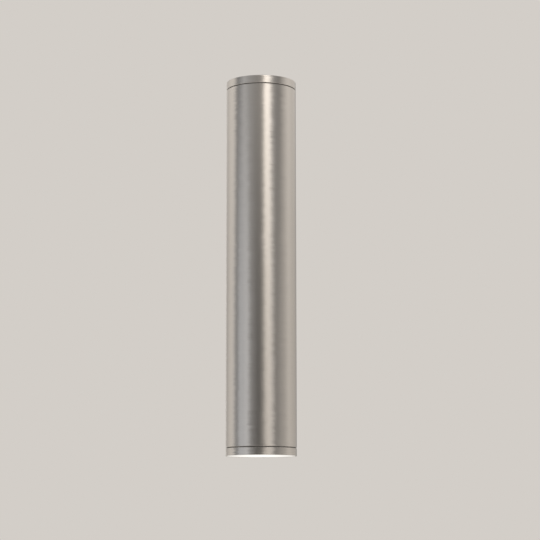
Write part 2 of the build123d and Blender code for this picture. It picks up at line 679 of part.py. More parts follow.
with BuildPart() as wall_gasket:
    with BuildSketch(BACK.offset(saddle_back)):
        RectangleRounded(SADDLE_WIDTH, SADDLE_HEIGHT, SADDLE_CORNER)
        RectangleRounded(
            SADDLE_WIDTH - 2 * WALL_GASKET_WIDTH,
            SADDLE_HEIGHT - 2 * WALL_GASKET_WIDTH,
            SADDLE_CORNER - WALL_GASKET_WIDTH,
            mode=Mode.SUBTRACT,
        )
    extrude(amount=WALL_GASKET_THICKNESS)
keep(wall_gasket.part, "wall_gasket")

# ---- cable bushes: a flange and a barrel round the supply cable's way in ----
bush_radius = ENTRY_RADIUS - SEAT_CLEARANCE
flange_radius = ENTRY_RADIUS + BUSH_FLANGE_WIDTH
bush_axis = Axis((0, 0, -CABLE_DROP), (0, 1, 0))
flange_seat = saddle_floor_radius + SEAT_CLEARANCE


def bush(name, tip, seat):
    """A cable bush whose flange lies on a seat, given as depths from the tube's axis."""
    forward = 1 if seat > tip else -1
    with BuildPart() as piece:
        with BuildSketch(SIDE):
            with BuildLine():
                Polyline(
                    (tip, CABLE_RADIUS - CABLE_DROP),
                    (tip, bush_radius - CABLE_DROP),
                    (seat, bush_radius - CABLE_DROP),
                    (seat, flange_radius - CABLE_DROP),
                    (seat + forward * BUSH_FLANGE_HEIGHT, flange_radius - CABLE_DROP),
                    (seat + forward * BUSH_FLANGE_HEIGHT, CABLE_RADIUS - CABLE_DROP),
                    close=True,
                )
            make_face()
        revolve(axis=bush_axis)
    keep(piece.part, name)


bush("tube_bush", tube_bore - RUNNING_CLEARANCE, flange_seat)
bush("wall_plate_bush", axis_depth - RUNNING_CLEARANCE, axis_depth - PLATE_THICKNESS)

# ---- wall plate: sheet with two ears bent forward, open slots in the ears for the locking screws ----
ear_notch = 2 * (PLATE_THICKNESS + PLATE_BEND)
ear_slot = 2 * (DOG_RADIUS + RUNNING_CLEARANCE)
with BuildPart() as wall_plate:
    with BuildSketch(BACK.offset(axis_depth)):
        RectangleRounded(plate_width, plate_height, PLATE_CORNER)
        with Locations((ear_outside, 0), (-ear_outside, 0)):
            Rectangle(ear_notch, EAR_HEIGHT + 2 * RELIEF_GAP, mode=Mode.SUBTRACT)
        with Locations((0, FIXING_SPACING / 2), (0, -FIXING_SPACING / 2)):
            SlotOverall(FIXING_SLOT_LENGTH, FIXING_SLOT_WIDTH, rotation=90, mode=Mode.SUBTRACT)
        with Locations((0, -CABLE_DROP)):
            Circle(ENTRY_RADIUS, mode=Mode.SUBTRACT)
    extrude(amount=-PLATE_THICKNESS)
    sheet = axis_depth - PLATE_THICKNESS / 2
    ear_middle = (ear_inside + ear_outside) / 2
    with BuildSketch(ENDS["top"].offset(-EAR_HEIGHT / 2)):
        for side in (-1, 1):
            with BuildLine():
                FilletPolyline(
                    (side * (ear_inside - PLATE_BEND - PLATE_THICKNESS), sheet),
                    (side * ear_middle, sheet),
                    (side * ear_middle, axis_depth - EAR_REACH),
                    radius=PLATE_BEND,
                )
            trace(line_width=PLATE_THICKNESS)
    extrude(amount=EAR_HEIGHT)
    with BuildSketch(SIDE.offset(-SADDLE_WIDTH)):
        with Locations((axis_depth - lock_depth, 0)):
            Circle(ear_slot / 2)
            Rectangle(EAR_REACH, ear_slot, align=(Align.MAX, Align.CENTER))
    extrude(amount=2 * SADDLE_WIDTH, mode=Mode.SUBTRACT)
keep(wall_plate.part, "wall_plate")

# ---- locking screws: a threaded body that presses on the ear, and a plain point in its slot ----
body_inside = ear_outside + SEAT_CLEARANCE
body_outside = SADDLE_WIDTH / 2 - LOCK_RECESS
point_inside = ear_inside - DRILL_CLEARANCE
lock_y = -lock_depth
for where, side in (("left", -1), ("right", 1)):
    with BuildPart() as locking_screw:
        with BuildSketch(Plane.XY):
            with BuildLine():
                Polyline(
                    (side * point_inside, lock_y),
                    (side * point_inside, lock_y + DOG_RADIUS),
                    (side * body_inside, lock_y + DOG_RADIUS),
                    (side * body_inside, lock_y + M4_RADIUS),
                    (side * body_outside, lock_y + M4_RADIUS),
                    (side * body_outside, lock_y),
                    close=True,
                )
            make_face()
        revolve(axis=Axis((0, lock_y, 0), (1, 0, 0)))
        with BuildSketch(Plane.YZ.offset(side * body_outside)):
            with Locations((lock_y, 0)):
                RegularPolygon(SOCKET_RADIUS, 6)
        extrude(amount=-side * SOCKET_DEPTH, mode=Mode.SUBTRACT)
    keep(locking_screw.part, f"locking_screw_{where}")
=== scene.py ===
import json
import math

import bmesh
import bpy
from mathutils import Matrix, Vector


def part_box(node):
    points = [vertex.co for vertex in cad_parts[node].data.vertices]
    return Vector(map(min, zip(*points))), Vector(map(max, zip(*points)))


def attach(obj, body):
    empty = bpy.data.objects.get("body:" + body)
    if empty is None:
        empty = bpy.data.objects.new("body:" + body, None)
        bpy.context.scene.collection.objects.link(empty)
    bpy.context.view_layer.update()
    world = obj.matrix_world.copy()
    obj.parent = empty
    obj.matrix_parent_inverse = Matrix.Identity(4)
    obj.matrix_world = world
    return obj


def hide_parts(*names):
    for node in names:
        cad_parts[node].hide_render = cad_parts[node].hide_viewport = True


# A brushed metal tube light that shines up and down, in front of a plain pale studio. Metres.
# The tube stands upright, its mount's back lies at y = 0, and the camera looks along +Y from below.

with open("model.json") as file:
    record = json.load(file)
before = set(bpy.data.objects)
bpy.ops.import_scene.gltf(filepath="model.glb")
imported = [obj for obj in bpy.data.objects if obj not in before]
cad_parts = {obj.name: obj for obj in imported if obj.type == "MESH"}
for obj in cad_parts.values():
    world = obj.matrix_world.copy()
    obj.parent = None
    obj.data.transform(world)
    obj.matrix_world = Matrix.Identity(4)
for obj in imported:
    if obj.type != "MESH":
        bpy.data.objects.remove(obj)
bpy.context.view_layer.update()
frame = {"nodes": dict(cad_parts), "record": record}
NODES = frame["nodes"]
ENDS = {"top": 1, "bottom": -1}

# ---- places read from the frame ----
tube_low, tube_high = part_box("body_tube")
TUBE_RADIUS = (tube_high.x - tube_low.x) / 2
TUBE_END = tube_high.z
AXIS_Y = (tube_low.y + tube_high.y) / 2
ring_low, ring_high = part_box("end_ring_top")
RIM = ring_high.z
SPIGOT_TIP = ring_low.z
LENS_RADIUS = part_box("lens_top")[1].x
RING_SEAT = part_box("lens_gasket_top")[0].z  # where the lens gasket lies on the ring

# ---- sizes of what is made here ----
TURNED_STEPS = 160  # faces round a turned piece
MERGE_DISTANCE = 1e-7
SHARP_ANGLE = 32.0  # degrees; a sharper edge than this is not shaded smooth
RING_HEIGHT = 0.0065
RING_EDGE = 0.0003
LIP_WALL = 0.0006
SPIGOT_RADIUS = 0.02695
SPIGOT_BORE = 0.0256
THREAD_PITCH = 0.0015
THREAD_DEPTH = 0.0006
THREAD_RUNOUT = 0.0006  # plain length at each end of a thread
THREAD_FOOT = 0.46  # half a ridge's width at the root, in pitches
THREAD_TOP = 0.07  # half its width at the crest, in pitches
THREAD_SINK = 0.3  # how far it goes into the root, in heights of the ridge
SCREW_STEPS = 48  # faces round a screw
SCREW_RADIUS = 0.002
SCREW_ROOT = 0.00162
SCREW_PITCH = 0.0007
SCREW_EDGE = 0.0002
SUNK_RADIUS = 0.004
SUNK_SOCKET = 0.0025  # across the flats
DOG_RADIUS = 0.0014
DOG_LENGTH = 0.00225
LOCK_SOCKET = 0.002  # across the flats
SOCKET_DEPTH = 0.0018
SOCKET_MOUTH = 1.06  # the mouth's radius, in radii of the hexagon's corners
SOCKET_CHAMFER = 0.1  # its depth, in widths across the flats
DRILL_POINT = 0.2  # its depth, in widths across the flats

# ---- looks ----
SEAM_MARKS = 0.006  # how far the turning lines, painted into the colour as light and dark rings, reach from the tube's ends
SEAM_LINES = 4800.0  # radians of the painted light and dark turning lines to a metre
SWAY = 0.26  # how far the brushing tips a normal, from one side to the other
LAMP_LENS_RADIUS = 0.022

# ---- camera and light ----
CAMERA_PLACE = (0.00735, -1.5076, -0.2237)
CAMERA_TILT = 98.567
CAMERA_ROLL = 0.06
CAMERA_LENS = 115.78
SENSOR = 36.0
BACKGROUND = (0.651, 0.617, 0.578)
STUDIO_COLOUR = (1.0, 0.985, 0.965)
STUDIO_STRENGTH = 0.62
STUDIO_SIDES = 96  # sides of the round floor and screen
FLOOR_LEVEL = -0.62
FLOOR_RADIUS = 30.0
FLOOR_FADE = (0.9, 3.0)  # between these distances it turns into the background
TENT_RADIUS = 0.9
TENT_HEIGHT = 2.6
TENT_LOW = 0.05  # below this height the screens have their low brightness
TENT_HIGH = 0.55  # above this height they have their high one
WARM_GREEN = 0.042  # what a warmth of 1 takes off the green
WARM_BLUE = 0.098  # and what it takes off the blue
SOFT_BOXES = [  # name, place, size, power and colour
    ("key", (1.1, -1.5, 1.6), 1.2, 26.0, (1.0, 0.97, 0.93)),
    ("fill", (-1.8, -1.2, 0.3), 1.4, 12.0, (0.96, 0.98, 1.0)),
    ("back", (0.6, 1.9, 1.2), 1.4, 16.0, (1.0, 0.97, 0.93)),
]


# ---- node helpers ----
def node(tree, kind, inputs=None, **settings):
    """A shader node; inputs maps a socket's name or number to a value or to another node's output."""
    made = tree.nodes.new(kind)
    for key, value in settings.items():
        setattr(made, key, value)
    for key, value in (inputs or {}).items():
        if isinstance(value, bpy.types.NodeSocket):
            tree.links.new(value, made.inputs[key])
        else:
            made.inputs[key].default_value = value
    return made


def calc(tree, operation, *values):
    """The output of a Math node."""
    made = node(tree, "ShaderNodeMath", dict(enumerate(values)), operation=operation)
    return made.outputs[0]


def vector_calc(tree, operation, *values):
    """The vector output of a Vector Math node."""
    made = node(tree, "ShaderNodeVectorMath", dict(enumerate(values)), operation=operation)
    return made.outputs[0]


def ramp(tree, value, stops):
    """The colour output of a ramp; stops are (place, grey or colour)."""
    made = node(tree, "ShaderNodeValToRGB", {"Fac": value})
    elements = made.color_ramp.elements
    while len(elements) < len(stops):
        elements.new(0.5)
    for element, (place, colour) in zip(elements, stops):
        element.position = place
        colour = (colour,) * 3 if isinstance(colour, float) else colour
        element.color = (*colour, 1.0)
    return made.outputs["Color"]


def blend(tree, factor, first, second, mode="MIX"):
    """The colour output of a Mix node."""
    made = tree.nodes.new("ShaderNodeMix")
    made.data_type = "RGBA"
    made.blend_type = mode
    for socket, value in zip((made.inputs[0], made.inputs[6], made.inputs[7]), (factor, first, second)):
        if isinstance(value, bpy.types.NodeSocket):
            tree.links.new(value, socket)
        elif isinstance(value, tuple):
            socket.default_value = (*value, 1.0)
        else:
            socket.default_value = value
    return made.outputs[2]


def noise(tree, vector, scale, detail=2.0, roughness=0.5):
    """The factor output of a Noise Texture."""
    inputs = {"Vector": vector, "Scale": scale, "Detail": detail, "Roughness": roughness}
    return node(tree, "ShaderNodeTexNoise", inputs).outputs["Fac"]


def red(tree, colour):
    """The red part of a colour, which for a grey is its brightness."""
    return node(tree, "ShaderNodeSeparateColor", {0: colour}).outputs["Red"]


def span(tree, value, low, high, start=0.0, end=1.0, shape="LINEAR"):
    """A value from start..end spread over low..high."""
    inputs = {"Value": value, "From Min": start, "From Max": end, "To Min": low, "To Max": high}
    return node(tree, "ShaderNodeMapRange", inputs, interpolation_type=shape).outputs["Result"]


def bump(tree, height, distance, strength, normal=None):
    """The normal output of a Bump node over a height from 0..1."""
    inputs = {"Height": height, "Distance": distance, "Strength": strength}
    if normal is not None:
        inputs["Normal"] = normal
    return node(tree, "ShaderNodeBump", inputs).outputs["Normal"]


def finish(name, colour, **values):
    """(material, tree, shader, object coordinates) of a new material with these shader values."""
    material = bpy.data.materials.new(name)
    material.use_nodes = True
    material.diffuse_color = (*colour, 1.0)
    tree = material.node_tree
    shader = tree.nodes["Principled BSDF"]
    shader.inputs["Base Color"].default_value = (*colour, 1.0)
    for key, value in values.items():
        shader.inputs[key.replace("_", " ")].default_value = value
    place = tree.nodes.new("ShaderNodeTexCoord").outputs["Object"]
    return material, tree, shader, place


def wire_up(tree, shader, **outputs):
    """Links outputs to the shader's sockets of those names."""
    for key, output in outputs.items():
        tree.links.new(output, shader.inputs[key.replace("_", " ")])


# ---- turned metal: everything runs round the tube's axis ----
def round_the_axis(tree, place):
    """(vector from the axis, radius, height, turning mark) for patterns that run round the tube."""
    centred = vector_calc(tree, "SUBTRACT", place, (0.0, AXIS_Y, 0.0))
    flat = vector_calc(tree, "MULTIPLY", centred, (1.0, 1.0, 0.0))
    radius = node(tree, "ShaderNodeVectorMath", {0: flat}, operation="LENGTH").outputs["Value"]
    height = node(tree, "ShaderNodeSeparateXYZ", {0: place}).outputs["Z"]
    mark = calc(tree, "ADD", height, radius)
    return flat, radius, height, mark


def streaks(tree, flat, mark, around, upward):
    """Noise stretched round the axis: around and upward are features to a metre."""
    drawn = vector_calc(tree, "MULTIPLY", flat, (around, around, 0.0))
    lifted = node(tree, "ShaderNodeCombineXYZ", {"Z": calc(tree, "MULTIPLY", mark, upward)}).outputs[0]
    return noise(tree, vector_calc(tree, "ADD", drawn, lifted), 1.0, 3.0)


def round_way(tree, flat):
    """The direction round the tube's axis, in world space."""
    parts = node(tree, "ShaderNodeSeparateXYZ", {0: flat})
    minus_y = calc(tree, "MULTIPLY", parts.outputs["Y"], -1.0)
    way = node(tree, "ShaderNodeCombineXYZ", {"X": minus_y, "Y": parts.outputs["X"]}).outputs[0]
    return node(
        tree,
        "ShaderNodeVectorTransform",
        {0: vector_calc(tree, "NORMALIZE", way)},
        vector_type="VECTOR",
        convert_from="OBJECT",
        convert_to="WORLD",
    ).outputs[0]


def across(tree, way):
    """The direction along the surface and across the brushing, in which the brushing spreads a highlight."""
    normal = tree.nodes.new("ShaderNodeNewGeometry").outputs["Normal"]
    return vector_calc(tree, "NORMALIZE", vector_calc(tree, "CROSS_PRODUCT", normal, way))


def sway(tree, normal, way, amount):
    """The normal, tipped to and fro round the axis by an amount about zero."""
    tip = node(tree, "ShaderNodeVectorMath", {0: way, "Scale": amount}, operation="SCALE").outputs[0]
    return vector_calc(tree, "NORMALIZE", vector_calc(tree, "ADD", normal, tip))


def brushed_steel():
    """Stainless steel brushed round the tube: fine streaks, faint smudges, and turning marks near the seams
    whose light and dark rings are painted shading.
    """
    colour = (0.62, 0.588, 0.556)
    material, tree, shader, place = finish("brushed_steel", colour, Metallic=1.0, Anisotropic=0.8)
    flat, _, height, mark = round_the_axis(tree, place)
    fine = streaks(tree, flat, mark, 60.0, 5200.0)
    coarse = streaks(tree, flat, mark, 38.0, 1150.0)
    wander = streaks(tree, flat, mark, 60.0, 3000.0)
    smudges = noise(tree, place, 28.0, 3.0, 0.6)
    tone = calc(tree, "ADD", calc(tree, "MULTIPLY", fine, 0.7), calc(tree, "MULTIPLY", coarse, 0.3))
    shades = ramp(tree, tone, [(0.3, (0.60, 0.569, 0.538)), (0.7, (0.637, 0.605, 0.573))])
    dull = blend(tree, span(tree, smudges, 0.0, 0.2), shades, (0.602, 0.571, 0.541))
    rough = calc(tree, "ADD", span(tree, fine, 0.272, 0.292), span(tree, smudges, -0.005, 0.005))
    # Painted shading: light and dark rings near the tube's ends stand in for the light that the turning
    # grooves catch.
    near_seam = span(tree, calc(tree, "ABSOLUTE", height), 0.0, 1.0, TUBE_END - SEAM_MARKS, TUBE_END)
    painted_ring_wave = calc(tree, "SINE", calc(tree, "MULTIPLY", mark, SEAM_LINES))
    shade = calc(tree, "MULTIPLY_ADD", calc(tree, "MULTIPLY", painted_ring_wave, near_seam), 0.045, 1.0)
    painted_ring_shading = node(tree, "ShaderNodeCombineXYZ", dict.fromkeys("XYZ", shade)).outputs[0]
    steel_with_painted_rings = vector_calc(tree, "MULTIPLY", dull, painted_ring_shading)
    relief = bump(tree, coarse, 0.0001, 0.5)
    relief = bump(tree, fine, 0.00004, 0.5, relief)
    way = round_way(tree, flat)
    tipped = sway(tree, relief, way, calc(tree, "MULTIPLY_ADD", wander, SWAY, -SWAY / 2))
    wire_up(tree, shader, Base_Color=steel_with_painted_rings, Roughness=rough, Normal=tipped, Tangent=across(tree, way))
    return material


def turned_aluminium():
    """Bare aluminium off the lathe, with its tool marks."""
    colour = (0.7, 0.7, 0.71)
    material, tree, shader, place = finish("turned_aluminium", colour, Metallic=1.0, Anisotropic=0.6)
    flat, _, _, mark = round_the_axis(tree, place)
    marks = streaks(tree, flat, mark, 20.0, 3600.0)
    shades = ramp(tree, marks, [(0.3, (0.63, 0.63, 0.64)), (0.7, (0.75, 0.75, 0.76))])
    rough = span(tree, marks, 0.28, 0.42)
    tangent = across(tree, round_way(tree, flat))
    relief = bump(tree, marks, 0.00005, 0.4)
    wire_up(tree, shader, Base_Color=shades, Roughness=rough, Normal=relief, Tangent=tangent)
    return material


def painted_casting():
    """Satin grey paint over a casting: a little orange peel and a darker grain."""
    material, tree, shader, place = finish("painted_casting", (0.42, 0.41, 0.395), Coat_Weight=0.25)
    shader.inputs["Coat Roughness"].default_value = 0.3
    peel = noise(tree, place, 1300.0, 2.0, 0.6)
    cloud = noise(tree, place, 40.0, 3.0)
    shades = ramp(tree, cloud, [(0.3, (0.4, 0.391, 0.377)), (0.7, (0.44, 0.43, 0.415))])
    grain = ramp(tree, peel, [(0.35, (0.93, 0.93, 0.93)), (0.65, (1.03, 1.03, 1.03))])
    shades = blend(tree, 1.0, shades, grain, "MULTIPLY")
    rough = span(tree, peel, 0.38, 0.52)
    relief = bump(tree, peel, 0.0005, 0.6)
    wire_up(tree, shader, Base_Color=shades, Roughness=rough, Normal=relief)
    return material


def zinc_plate():
    """Bright zinc plating: a faint blue cast, spangle and rolling marks."""
    material, tree, shader, place = finish("zinc_plate", (0.62, 0.63, 0.65), Metallic=1.0)
    cells = node(tree, "ShaderNodeTexVoronoi", {"Vector": place, "Scale": 900.0}).outputs["Color"]
    rolled = noise(tree, vector_calc(tree, "MULTIPLY", place, (3000.0, 3000.0, 90.0)), 1.0, 2.0)
    spangle = calc(tree, "MULTIPLY", red(tree, cells), 0.3)
    tone = calc(tree, "ADD", spangle, calc(tree, "MULTIPLY", rolled, 0.7))
    shades = ramp(tree, tone, [(0.25, (0.58, 0.59, 0.612)), (0.75, (0.66, 0.67, 0.682))])
    rough = span(tree, tone, 0.32, 0.5)
    relief = bump(tree, rolled, 0.00004, 0.3)
    wire_up(tree, shader, Base_Color=shades, Roughness=rough, Normal=relief)
    return material


def blackened_steel():
    """Blackened set screws, worn a little brighter in places."""
    material, tree, shader, place = finish("blackened_steel", (0.045, 0.045, 0.048), Metallic=0.8)
    worn = noise(tree, place, 1500.0, 3.0)
    shades = ramp(tree, worn, [(0.45, (0.035, 0.035, 0.038)), (0.75, (0.13, 0.125, 0.12))])
    wire_up(tree, shader, Base_Color=shades, Roughness=span(tree, worn, 0.32, 0.5))
    return material


def rubber(name, colour, grain, depth):
    """Matte rubber or silicone with a moulded grain."""
    material, tree, shader, place = finish(name, colour)
    shader.inputs["Specular IOR Level"].default_value = 0.35
    cells = noise(tree, place, grain, 2.0)
    light = tuple(min(1.0, part * 1.35 + 0.006) for part in colour)
    shades = ramp(tree, cells, [(0.3, colour), (0.75, light)])
    relief = bump(tree, cells, depth, 0.5)
    wire_up(tree, shader, Base_Color=shades, Roughness=span(tree, cells, 0.6, 0.8), Normal=relief)
    return material


def foam():
    """Closed cell foam: small pores in a black sheet."""
    material, tree, shader, place = finish("foam_rubber", (0.045, 0.045, 0.047))
    cells = node(tree, "ShaderNodeTexVoronoi", {"Vector": place, "Scale": 1900.0}).outputs["Distance"]
    shades = ramp(tree, cells, [(0.0, (0.018, 0.018, 0.019)), (0.5, (0.065, 0.065, 0.068))])
    relief = bump(tree, cells, 0.00025, 0.7)
    wire_up(tree, shader, Base_Color=shades, Roughness=span(tree, cells, 0.85, 0.95), Normal=relief)
    return material


def moulded(name, colour, rough, grain):
    """Moulded plastic with a fine even grain and slight clouding."""
    material, tree, shader, place = finish(name, colour)
    fine = noise(tree, place, grain, 1.5)
    cloud = noise(tree, place, 60.0, 2.0)
    dark = tuple(part * 0.93 for part in colour)
    shades = ramp(tree, cloud, [(0.35, dark), (0.65, colour)])
    rough_now = span(tree, fine, rough - 0.06, rough + 0.06)
    relief = bump(tree, fine, 0.00005, 0.25)
    wire_up(tree, shader, Base_Color=shades, Roughness=rough_now, Normal=relief)
    return material


def ceramic():
    """Unglazed steatite: off-white, dry, with a few iron specks."""
    material, tree, shader, place = finish("ceramic", (0.83, 0.8, 0.74))
    body = noise(tree, place, 220.0, 4.0)
    specks = noise(tree, place, 1300.0, 1.0)
    shades = ramp(tree, body, [(0.3, (0.8, 0.773, 0.716)), (0.7, (0.84, 0.812, 0.755))])
    dots = ramp(tree, specks, [(0.76, 0.0), (0.8, 0.35)])
    mixed = blend(tree, red(tree, dots), shades, (0.4, 0.33, 0.25))
    relief = bump(tree, body, 0.0001, 0.4)
    wire_up(tree, shader, Base_Color=mixed, Roughness=span(tree, body, 0.55, 0.7), Normal=relief)
    return material


def plain_metal(name, dark, light, rough):
    """Brass or nickel with a drawn grain and a little tarnish."""
    material, tree, shader, place = finish(name, light, Metallic=1.0)
    tarnish = noise(tree, place, 260.0, 4.0)
    shades = ramp(tree, tarnish, [(0.35, dark), (0.65, light)])
    drawn = noise(tree, vector_calc(tree, "MULTIPLY", place, (2600.0, 2600.0, 200.0)), 1.0, 2.0)
    rough_now = span(tree, tarnish, rough + 0.1, rough - 0.04)
    wire_up(tree, shader, Base_Color=shades, Roughness=rough_now, Normal=bump(tree, drawn, 0.00003, 0.3))
    return material


def insulation(name, colour, stripe=None):
    """Silicone wire insulation, with a second colour along one side for the earth wire."""
    material, tree, shader, place = finish(name, colour)
    fine = noise(tree, place, 900.0, 2.0)
    dark = tuple(part * 0.8 for part in colour)
    shades = ramp(tree, fine, [(0.3, dark), (0.7, colour)])
    if stripe:
        sideways = node(tree, "ShaderNodeSeparateXYZ", {0: place}).outputs["X"]
        side = ramp(tree, calc(tree, "MULTIPLY_ADD", sideways, 2000.0, 0.5), [(0.48, 0.0), (0.52, 1.0)])
        shades = blend(tree, red(tree, side), shades, stripe)
    relief = bump(tree, fine, 0.00004, 0.2)
    wire_up(tree, shader, Base_Color=shades, Roughness=span(tree, fine, 0.35, 0.5), Normal=relief)
    return material


def lit_glass(name, colour, glow, middle, edge, bright_radius, grain):
    """Frosted glass with the lamp's light in it: brightest in the middle, with a fine etched grain."""
    material, tree, shader, place = finish(name, colour)
    _, radius, _, _ = round_the_axis(tree, place)
    etched = noise(tree, place, grain, 2.0)
    far = span(tree, radius, middle, edge, bright_radius * 0.35, bright_radius, "SMOOTHSTEP")
    strength = calc(tree, "MULTIPLY", far, span(tree, etched, 0.94, 1.06))
    shades = ramp(tree, etched, [(0.3, tuple(part * 0.95 for part in colour)), (0.7, colour)])
    relief = bump(tree, etched, 0.00003, 0.4)
    shader.inputs["Emission Color"].default_value = (*glow, 1.0)
    wire_up(tree, shader, Base_Color=shades, Roughness=span(tree, etched, 0.4, 0.55), Normal=relief)
    wire_up(tree, shader, Emission_Strength=strength)
    return material


FINISHES = {
    "brushed_steel": brushed_steel(),
    "aluminium": turned_aluminium(),
    "cast_aluminium": painted_casting(),
    "zinc_steel": zinc_plate(),
    "dark_steel": blackened_steel(),
    "black_rubber": rubber("black_rubber", (0.022, 0.021, 0.02), 1500.0, 0.00006),
    "foam_rubber": foam(),
    "white_silicone": rubber("white_silicone", (0.74, 0.73, 0.7), 1200.0, 0.00005),
    "white_nylon": moulded("white_nylon", (0.84, 0.83, 0.78), 0.42, 1400.0),
    "lamp_plastic": moulded("lamp_plastic", (0.82, 0.82, 0.8), 0.38, 1100.0),
    "ceramic": ceramic(),
    "brass": plain_metal("brass", (0.5, 0.36, 0.15), (0.76, 0.59, 0.29), 0.3),
    "nickel_pins": plain_metal("nickel", (0.56, 0.53, 0.48), (0.72, 0.69, 0.63), 0.22),
    "brown_insulation": insulation("brown_insulation", (0.16, 0.065, 0.03)),
    "blue_insulation": insulation("blue_insulation", (0.04, 0.14, 0.42)),
    "green_insulation": insulation("earth_insulation", (0.05, 0.3, 0.07), stripe=(0.8, 0.68, 0.06)),
    "frosted_glass": lit_glass(
        "frosted_glass", (0.26, 0.256, 0.25), (1.0, 0.97, 0.92), 0.9, 0.68, LENS_RADIUS, 1500.0
    ),
    "lamp_lens": lit_glass(
        "lamp_lens", (0.8, 0.78, 0.74), (1.0, 0.93, 0.82), 1.6, 1.0, LAMP_LENS_RADIUS, 700.0
    ),
}
for part in frame["record"]["subparts"]:
    NODES[part["node"]].material_slots[0].material = FINISHES[part["material_slot"]]


# ---- mesh helpers: pieces are turned about the z axis, then put in their place ----
def as_object(name, bm):
    """A new object in the scene from a finished mesh."""
    mesh = bpy.data.meshes.new(name)
    bm.to_mesh(mesh)
    bm.free()
    made = bpy.data.objects.new(name, mesh)
    bpy.context.scene.collection.objects.link(made)
    return made


def piece(name, bm, place, slot, body, *replaced):
    """A finished mesh as an object that rides on a body, shaded smooth but for its sharp edges."""
    bmesh.ops.remove_doubles(bm, verts=bm.verts, dist=MERGE_DISTANCE)
    bmesh.ops.recalc_face_normals(bm, faces=bm.faces)
    bm.transform(place)
    made = as_object(name, bm)
    made.data.shade_smooth()
    made.data.set_sharp_from_angle(angle=math.radians(SHARP_ANGLE))
    made.data.materials.append(FINISHES[slot])
    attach(made, body)
    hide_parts(*replaced)


def spin(bm, geom, angle, steps, rise=0.0, merge=False):
    """Sweeps geometry about the axis in steps, each of which rises by the same amount."""
    bmesh.ops.spin(
        bm,
        geom=geom,
        cent=(0, 0, 0),
        axis=(0, 0, 1),
        dvec=(0, 0, rise),
        angle=angle,
        steps=steps,
        use_merge=merge,
        use_duplicate=False,
    )


def turn(bm, points, side=1, steps=TURNED_STEPS, closed=True):
    """Turns a line of radius and height about the axis; side -1 turns it upside down."""
    corners = [bm.verts.new((r, 0, side * z)) for r, z in points]
    ends = corners[1:] + corners[:1] if closed else corners[1:]
    edges = [bm.edges.new(pair) for pair in zip(corners, ends)]
    spin(bm, edges, math.tau, steps, merge=True)


def thread(bm, root, crest, low, high, pitch, side=1, steps=TURNED_STEPS // 2):
    """A right-handed ridge that winds from low to high, sunk a little into the root."""
    foot, top = pitch * THREAD_FOOT, pitch * THREAD_TOP
    sunk = root - THREAD_SINK * (crest - root)
    corners = [(sunk, low - foot), (root, low - foot), (crest, low - top)]
    corners += [(crest, low + top), (root, low + foot), (sunk, low + foot)]
    verts = [bm.verts.new((r, 0, side * z)) for r, z in corners]
    face = bm.faces.new(verts)
    turns = (high - low) / pitch
    count = int(turns * steps)
    spin(bm, [face, *face.edges, *verts], side * math.tau * turns, count, side * (high - low) / count)


def hexagon(angle, flats):
    """A hexagon's radius at an angle, for a width across its flats."""
    return flats / 2 / math.cos((angle + math.pi / 6) % (math.pi / 3) - math.pi / 6)


def hexagon_socket(bm, rim, flats):
    """Closes a screw's end at height 0: a flat ring inside the rim, a sunk mouth and a hexagon socket."""
    angles = [math.tau * step / SCREW_STEPS for step in range(SCREW_STEPS)]
    mouth = SOCKET_MOUTH * hexagon(math.pi / 6, flats)
    levels = [(rim, 0, False), (mouth, 0, False)]
    levels += [(flats, -SOCKET_CHAMFER * flats, True), (flats, -SOCKET_DEPTH, True)]
    rows = []
    for width, height, flat_sided in levels:
        radii = [hexagon(angle, width) if flat_sided else width for angle in angles]
        rows.append([bm.verts.new((r * math.cos(a), r * math.sin(a), height)) for r, a in zip(radii, angles)])
    for outer, inner in zip(rows, rows[1:]):
        for here, there in zip(range(SCREW_STEPS), [*range(1, SCREW_STEPS), 0]):
            bm.faces.new((outer[here], outer[there], inner[there], inner[here]))
    drill_point = bm.verts.new((0, 0, -SOCKET_DEPTH - DRILL_POINT * flats))
    for here, there in zip(rows[-1], rows[-1][1:] + rows[-1][:1]):
        bm.faces.new((here, there, drill_point))


def socket_screw(name, place, slot, body, node_name, profile, flats, threaded):
    """A screw with a hexagon socket; its open profile runs from its tip to its rim at height 0."""
    bm = bmesh.new()
    turn(bm, profile, steps=SCREW_STEPS, closed=False)
    hexagon_socket(bm, profile[-1][0], flats)
    piece(name, bm, place, slot, body, node_name)
    bm = bmesh.new()
    thread(bm, SCREW_ROOT, SCREW_RADIUS, *threaded, SCREW_PITCH, steps=SCREW_STEPS)
    piece(f"{name}_thread", bm, place, slot, body, node_name)


# ---- end rings: turned steel with a cut thread on the spigot ----
on_axis = Matrix.Translation((0, AXIS_Y, 0))
flange = RIM - RING_HEIGHT
root = SPIGOT_RADIUS - THREAD_DEPTH
inset = THREAD_RUNOUT + THREAD_PITCH / 2
ring_profile = [
    (SPIGOT_BORE, SPIGOT_TIP),
    (root - RING_EDGE, SPIGOT_TIP),
    (root, SPIGOT_TIP + RING_EDGE),
    (root, flange),
    (TUBE_RADIUS - RING_EDGE, flange),
    (TUBE_RADIUS, flange + RING_EDGE),
    (TUBE_RADIUS, RIM - RING_EDGE / 2),
    (TUBE_RADIUS - RING_EDGE / 2, RIM),
    (TUBE_RADIUS - LIP_WALL, RIM),
    (TUBE_RADIUS - LIP_WALL, RING_SEAT),
    (SPIGOT_BORE, RING_SEAT),
]
for where, side in ENDS.items():
    bm = bmesh.new()
    turn(bm, ring_profile, side)
    piece(f"turned_ring_{where}", bm, on_axis, "brushed_steel", f"ring_{where}", f"end_ring_{where}")
    bm = bmesh.new()
    thread(bm, root, SPIGOT_RADIUS, SPIGOT_TIP + inset, TUBE_END - inset, THREAD_PITCH, side)
    piece(f"ring_thread_{where}", bm, on_axis, "brushed_steel", f"ring_{where}", f"end_ring_{where}")


